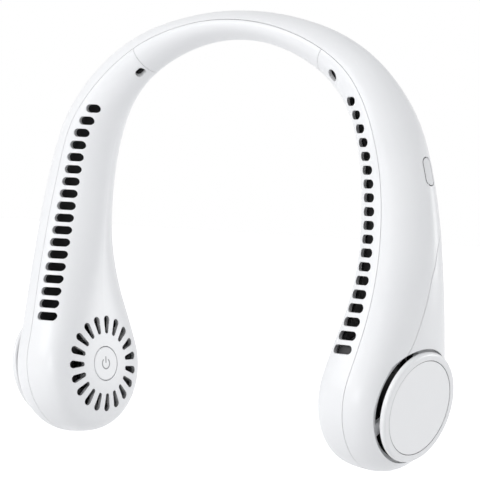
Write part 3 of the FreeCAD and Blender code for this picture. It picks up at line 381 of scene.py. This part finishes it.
def intakeTool(side, look):
    # ring with gaps for the spokes, standing in the floor of one dish
    depth = look["below"] + look["above"]
    pieces = {}
    for part in ("outer", "inner"):
        bpy.ops.mesh.primitive_cylinder_add(vertices=look["segments"], radius=look[part], depth=depth)
        pieces[part] = bpy.context.object
    pieces["inner"].scale.z = look["overrun"]
    tool = pieces["outer"]
    cutAway(tool, pieces["inner"])
    plate = nodes[side + "_disc_plate"].data
    outward = 1 if side == "right" else -1
    top = [face for face in plate.polygons if face.normal.x * outward > look["topFacing"]]
    axis = sum((face.normal * face.area for face in top), Vector()).normalized()
    rim = [plate.vertices[index].co for face in top for index in face.vertices]
    centre = Vector([(min(p[i] for p in rim) + max(p[i] for p in rim)) / 2 for i in range(3)])
    level = max((point - centre).dot(axis) for point in rim) - look["floorUnderPlate"]
    level += (look["above"] - look["below"]) / 2
    turn = facing(frontToBack, axis)
    # the discs' screws stand on the spokes, evenly round the disc
    swing = 0
    for vertex in nodes["disc_screws"].data.vertices:
        if vertex.co.x * outward > 0:
            place = turn.transposed() @ (vertex.co - centre)
            swing += complex(place.x, place.y) ** look["spokes"]
    first = math.atan2(swing.imag, swing.real) / look["spokes"]
    for index in range(look["spokes"]):
        bpy.ops.mesh.primitive_cube_add(size=1)
        spoke = bpy.context.object
        spoke.scale = (look["outer"] * 2, look["spokeWidth"], depth * look["overrun"])
        angle = first + index * math.tau / look["spokes"]
        spoke.rotation_euler.z = angle
        spoke.location = (look["outer"] * math.cos(angle), look["outer"] * math.sin(angle), 0)
        bpy.context.view_layer.update()
        cutAway(tool, spoke)
    tool.matrix_world = Matrix.Translation(centre + axis * level) @ turn.to_4x4()
    bpy.context.view_layer.update()
    return tool


# the vent that is closed, and the one that is cut in its stead
ventLook = {
    "closed": (0.0498, -0.00475, -0.0146), "closedAlong": (0.52, 0, 0.853),
    "closedReach": 0.0032, "closedLength": 0.0064,
    "place": (0.05678, -0.0081, -0.01507), "normal": (-0.35, -0.86, -0.37),
    "length": 0.0054, "width": 0.0046, "depth": 0.006, "segments": 48,
}


def inVent(point):
    away = point - Vector(ventLook["closed"])
    across = away.cross(Vector(ventLook["closedAlong"]).normalized()).length
    return across < ventLook["closedReach"] and away.length < ventLook["closedLength"]


def ventTool(look):
    unit = 0.5  # a cylinder 1 across takes its length and width from the scale
    bpy.ops.mesh.primitive_cylinder_add(vertices=look["segments"], radius=unit, depth=look["depth"])
    tool = bpy.context.object
    normal = Vector(look["normal"]).normalized()
    along = frontToBack.cross(normal).normalized()
    size = Matrix.Diagonal((look["length"], look["width"], 1, 1))
    tool.matrix_world = Matrix.Translation(Vector(look["place"])) @ facing(along, normal).to_4x4() @ size
    bpy.context.view_layer.update()
    return tool


# the duct's window behind the lowest right slot, closed so that no light comes through
windowLook = {"level": -0.1243, "halfHeight": 0.00215}


def inWindow(point):
    return abs(point.z - windowLook["level"]) < windowLook["halfHeight"] and point.y < 0


def closeOpening(inOpening):
    # takes the walls of an opening out of the active object and fills both its mouths
    bpy.ops.object.mode_set(mode="EDIT")
    bpy.ops.mesh.select_mode(type="VERT")
    selectWhere(inOpening)
    bpy.ops.mesh.delete(type="FACE")
    selectWhere(inOpening)
    bpy.ops.mesh.fill_holes(sides=0)
    bpy.ops.mesh.quads_convert_to_tris()
    bpy.ops.object.mode_set(mode="OBJECT")


outerShell = shellCopy("outer_shell", trimLook)
for side in ("left", "right"):
    cutAway(outerShell, intakeTool(side, intakeLook))
finishShell(outerShell, "outer_shell", trimLook)
outerShell.data.materials[0] = plainWhite
rightShell = shellCopy("right_inner_shell", trimLook)
closeOpening(inVent)
cutAway(rightShell, ventTool(ventLook))
finishShell(rightShell, "right_inner_shell", trimLook)
rightDuct = shellCopy("right_air_duct", trimLook)
closeOpening(inWindow)
finishShell(rightDuct, "right_air_duct", trimLook)
trimmed = (outerShell, rightShell, rightDuct)
print("pieces trimmed:", *(len(shell.data.polygons) for shell in trimmed), "faces")


# Power mark printed on the button: an open ring and a bar

markLook = {
    "ringRadius": 0.0023, "line": 0.00058, "gapDegrees": 34, "barTop": 0.0031, "barFoot": 0.0003,
    "height": 0.00004, "segments": 64, "grey": (0.27, 0.275, 0.285), "greyLight": (0.31, 0.315, 0.325),
    "toneScale": 900, "roughness": 0.4, "toneRoughness": 0.1,
}


def powerMark(look):
    inner = look["ringRadius"] - look["line"] / 2
    bpy.ops.mesh.primitive_circle_add(vertices=look["segments"], radius=inner, fill_type="NOTHING")
    mark = bpy.context.object
    mark.name = "power_mark"
    bpy.ops.object.mode_set(mode="EDIT")
    bpy.ops.mesh.select_mode(type="VERT")
    bpy.ops.mesh.select_all(action="SELECT")
    bpy.ops.mesh.extrude_region_move()
    wider = (inner + look["line"]) / inner
    bpy.ops.transform.resize(value=(wider, wider, 1))
    gap = math.radians(look["gapDegrees"])
    selectWhere(lambda point: abs(math.atan2(point.x, point.y)) < gap)
    bpy.ops.mesh.delete(type="VERT")
    bpy.ops.mesh.primitive_plane_add(size=1)
    bpy.ops.transform.resize(value=(look["line"], look["barTop"] - look["barFoot"], 1))
    bpy.ops.transform.translate(value=(0, (look["barTop"] + look["barFoot"]) / 2, 0))
    bpy.ops.mesh.select_all(action="SELECT")
    bpy.ops.mesh.extrude_region_move(TRANSFORM_OT_translate={"value": (0, 0, look["height"])})
    bpy.ops.mesh.select_all(action="SELECT")
    bpy.ops.mesh.normals_make_consistent(inside=False)
    bpy.ops.object.mode_set(mode="OBJECT")
    # the mark's front looks out of the button, its bar points up the drum
    joints = {joint["name"]: joint for joint in frame["record"]["behaviour"]["joints"]}
    front = -Vector(joints["button_press"]["axis"])
    centre = Vector(joints["left_fan_spin"]["pos_m"])
    button = nodes["power_button"]
    level = max((button.matrix_world @ vertex.co - centre).dot(front) for vertex in button.data.vertices)
    turn = facing(frontToBack, front).to_4x4()
    mark.matrix_world = Matrix.Translation(centre + front * level) @ turn
    bpy.ops.object.transform_apply(location=True, rotation=True, scale=True)
    return mark


def markGrey(look):
    finish = Finish("power_mark_grey")
    tone = finish.noise(look["toneScale"])
    finish.feed("Base Color", tone.mix(look["grey"], look["greyLight"]))
    finish.feed("Roughness", look["roughness"] + look["toneRoughness"] * tone)
    return finish.material


mark = powerMark(markLook)
mark.data.materials.append(markGrey(markLook))
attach(mark, "button")
print("power mark drawn")


# Stage: a pale floor well below the hanging fan, and a white surround

floorLook = {
    "level": -0.215, "size": 12, "dark": (0.82, 0.82, 0.825), "light": (0.83, 0.83, 0.835),
    "speckleScale": 40, "roughness": 0.8, "glow": 0.65,
}


def makeFloor(look):
    bpy.ops.mesh.primitive_plane_add(size=look["size"], location=(0, 0, look["level"]))
    floor = bpy.context.object
    floor.name = "floor"
    finish = Finish("floor_white", Roughness=look["roughness"], Emission_Strength=1)
    speckle = finish.noise(look["speckleScale"])
    finish.feed("Base Color", speckle.mix(look["dark"], look["light"]))
    glow = finish.start.seen() * look["glow"]
    finish.feed("Emission Color", glow.mix((0, 0, 0), (1, 1, 1)))
    floor.data.materials.append(finish.material)


worldLook = {"ambient": 0.6, "tint": (0.975, 0.985, 1.0), "backdrop": (1, 1, 1), "strength": 1}


def makeWorld(look):
    world = bpy.data.worlds.new("studio")
    world.use_nodes = True
    bpy.context.scene.world = world
    tree = world.node_tree
    ambient = tuple(look["ambient"] * part for part in look["tint"])
    colour = Socket(tree).seen().mix(ambient, look["backdrop"])
    tree.links.new(colour.link, tree.nodes["Background"].inputs["Color"])
    tree.nodes["Background"].inputs["Strength"].default_value = look["strength"]


lampAim = (0, 0, -0.084)
lamps = {
    "key_lamp": {"place": (-0.75, -1.5, 0.75), "size": 1.1, "power": 11},
    "front_lamp": {"place": (0.3, -1.6, -0.02), "size": 0.36, "power": 5.2},
    "right_lamp": {"place": (1.1, 1.3, 0.15), "size": 0.7, "power": 7.5},
}


def makeLamp(name, look):
    data = bpy.data.lights.new(name, "AREA")
    data.shape = "DISK"
    data.size = look["size"]
    data.energy = look["power"]
    lamp = bpy.data.objects.new(name, data)
    bpy.context.scene.collection.objects.link(lamp)
    lamp.location = look["place"]
    aim = Vector(lampAim) - Vector(look["place"])
    lamp.rotation_euler = aim.to_track_quat("-Z", "Y").to_euler()


makeFloor(floorLook)
makeWorld(worldLook)
for lampName, lampLook in lamps.items():
    makeLamp(lampName, lampLook)
print("stage and lamps set")


# Camera: a long lens between the front and the right side, leaning slightly

cameraLook = {
    "azimuth": 39.72, "elevation": 1.115, "roll": 2.721, "distance": 1.09396, "target": (0, 0, -0.0841),
    "lens": 194.19, "shift": (0.02186, -0.00242), "clip": (0.05, 50),
}


def makeCamera(look):
    azimuth, elevation, roll = (math.radians(look[key]) for key in ("azimuth", "elevation", "roll"))
    back = Vector((
        math.sin(azimuth) * math.cos(elevation),
        -math.cos(azimuth) * math.cos(elevation),
        math.sin(elevation),
    ))
    right = Vector((math.cos(azimuth), math.sin(azimuth), 0))
    up = back.cross(right)
    leanRight = right * math.cos(roll) + up * math.sin(roll)
    leanUp = up * math.cos(roll) - right * math.sin(roll)
    data = bpy.data.cameras.new("camera")
    data.lens = look["lens"]
    data.shift_x, data.shift_y = look["shift"]
    data.clip_start, data.clip_end = look["clip"]
    camera = bpy.data.objects.new("camera", data)
    bpy.context.scene.collection.objects.link(camera)
    turn = Matrix((leanRight, leanUp, back)).transposed().to_4x4()
    place = Vector(look["target"]) + back * look["distance"]
    camera.matrix_world = Matrix.Translation(place) @ turn
    bpy.context.scene.camera = camera


makeCamera(cameraLook)
bpy.context.scene.view_settings.view_transform = "Standard"
print("camera placed")
